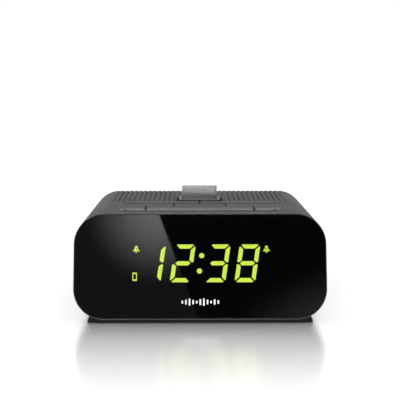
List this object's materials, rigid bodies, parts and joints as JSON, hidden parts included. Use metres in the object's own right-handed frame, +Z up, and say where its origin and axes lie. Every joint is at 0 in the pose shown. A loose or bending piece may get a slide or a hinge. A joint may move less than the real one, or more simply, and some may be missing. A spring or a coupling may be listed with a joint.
{
  "type": "clock radio",
  "caption": "Docking clock radio with a leaning gloss display front, ribbed top over its speakers, top key rows and a tilting docking plug.",
  "frame": {"origin": "on the table, under the middle of the object's box", "axes": "+X to the right of the display, +Y from the front to the back, +Z up"},
  "size_m": [0.1346, 0.1114, 0.065],
  "materials": {
    "case_plastic": "fine satin texture",
    "bezel_plastic": "satin",
    "cover_plastic": "matt",
    "lens_gloss": "polished smoked lens",
    "mask_print": "black print",
    "module_plastic": "matt black",
    "lit_display": "lit yellow-green",
    "circuit_board": "green solder mask",
    "silver_print": "silver print",
    "screw_steel": "zinc plated",
    "foot_rubber": "matt rubber",
    "cell_steel": "brushed",
    "plated_metal": "bright plated",
    "chip_plastic": "moulded",
    "socket_plastic": "moulded",
    "dome_rubber": "silicone",
    "dock_plastic": "semi-gloss",
    "plug_plastic": "moulded",
    "contact_gold": "gold plated",
    "ribbon_plastic": "flat cable",
    "lead_plastic": "wire insulation",
    "gasket_foam": "foam",
    "frame_metal": "pressed steel, black",
    "magnet_iron": "ferrite",
    "cone_paper": "coated paper",
    "key_plastic": "satin"
  },
  "bodies": {
    "cabinet": {"front_bezel": "bezel_plastic", "front_lens": "lens_gloss", "display_mask": "mask_print", "display_module": "module_plastic", "display_segments": "lit_display", "display_icons": "lit_display", "display_board": "circuit_board", "front_mark": "silver_print", "main_housing": "case_plastic", "rear_cover": "cover_plastic", "rear_screws": "screw_steel", "base_screws": "screw_steel", "main_board_screws": "screw_steel", "key_board_screws": "screw_steel", "dock_screws": "screw_steel", "display_screws": "screw_steel", "base_plate": "cover_plastic", "rubber_feet": "foot_rubber", "backup_cell": "cell_steel", "cell_holder": "module_plastic", "cell_contact": "plated_metal", "main_board": "circuit_board", "board_components": "chip_plastic", "aux_socket": "socket_plastic", "power_inlet": "socket_plastic", "inlet_pin": "plated_metal", "antenna_gland": "foot_rubber", "key_board": "circuit_board", "tact_switches": "chip_plastic", "key_domes": "dome_rubber", "dock_pivot_pin": "screw_steel", "dock_cradle": "module_plastic", "dock_springs": "plated_metal", "display_ribbon": "ribbon_plastic", "key_ribbon": "ribbon_plastic", "speaker_leads": "lead_plastic", "left_speaker_gasket": "gasket_foam", "left_speaker_frame": "frame_metal", "left_speaker_magnet": "magnet_iron", "left_speaker_cone": "cone_paper", "right_speaker_gasket": "gasket_foam", "right_speaker_frame": "frame_metal", "right_speaker_magnet": "magnet_iron", "right_speaker_cone": "cone_paper"},
    "dock": {"dock_pedestal": "dock_plastic", "plug_shell": "plated_metal", "plug_core": "plug_plastic", "plug_contacts": "contact_gold"},
    "door": {"battery_door": "cover_plastic"},
    "alarm_one_key_body": {"alarm_one_key": "key_plastic"},
    "snooze_bar_body": {"snooze_bar": "key_plastic"},
    "alarm_two_key_body": {"alarm_two_key": "key_plastic"},
    "volume_down_key_body": {"volume_down_key": "key_plastic"},
    "play_key_body": {"play_key": "key_plastic"},
    "volume_up_key_body": {"volume_up_key": "key_plastic"},
    "sleep_key_body": {"sleep_key": "key_plastic"},
    "radio_key_body": {"radio_key": "key_plastic"}
  },
  "joints": [
    {"name": "alarm_one_press", "type": "slide", "parent": "cabinet", "child": "alarm_one_key_body", "axis": [0, 0, -1], "range_m": [0, 0.0008], "stiffness_N_per_m": 200, "springref_m": -0.003, "deforming": ["key_domes"]},
    {"name": "snooze_bar_press", "type": "slide", "parent": "cabinet", "child": "snooze_bar_body", "axis": [0, 0, -1], "range_m": [0, 0.0008], "stiffness_N_per_m": 200, "springref_m": -0.003, "deforming": ["key_domes"]},
    {"name": "alarm_two_press", "type": "slide", "parent": "cabinet", "child": "alarm_two_key_body", "axis": [0, 0, -1], "range_m": [0, 0.0008], "stiffness_N_per_m": 200, "springref_m": -0.003, "deforming": ["key_domes"]},
    {"name": "volume_down_press", "type": "slide", "parent": "cabinet", "child": "volume_down_key_body", "axis": [0, 0, -1], "range_m": [0, 0.0008], "stiffness_N_per_m": 200, "springref_m": -0.003, "deforming": ["key_domes"]},
    {"name": "play_press", "type": "slide", "parent": "cabinet", "child": "play_key_body", "axis": [0, 0, -1], "range_m": [0, 0.0008], "stiffness_N_per_m": 200, "springref_m": -0.003, "deforming": ["key_domes"]},
    {"name": "volume_up_press", "type": "slide", "parent": "cabinet", "child": "volume_up_key_body", "axis": [0, 0, -1], "range_m": [0, 0.0008], "stiffness_N_per_m": 200, "springref_m": -0.003, "deforming": ["key_domes"]},
    {"name": "sleep_press", "type": "slide", "parent": "cabinet", "child": "sleep_key_body", "axis": [0, 0, -1], "range_m": [0, 0.0008], "stiffness_N_per_m": 200, "springref_m": -0.003, "deforming": ["key_domes"]},
    {"name": "radio_press", "type": "slide", "parent": "cabinet", "child": "radio_key_body", "axis": [0, 0, -1], "range_m": [0, 0.0008], "stiffness_N_per_m": 200, "springref_m": -0.003, "deforming": ["key_domes"]},
    {"name": "dock_tilt", "type": "hinge", "parent": "cabinet", "child": "dock", "pos_m": [0, 0.01261, 0.0522], "axis": [1, 0, 0], "range_deg": [-8, 8], "stiffness_Nm_per_rad": 0.6, "deforming": ["dock_springs"]},
    {"name": "door_slide", "type": "slide", "parent": "cabinet", "child": "door", "axis": [0, -1, 0], "range_m": [0, 0.022]}
  ]
}
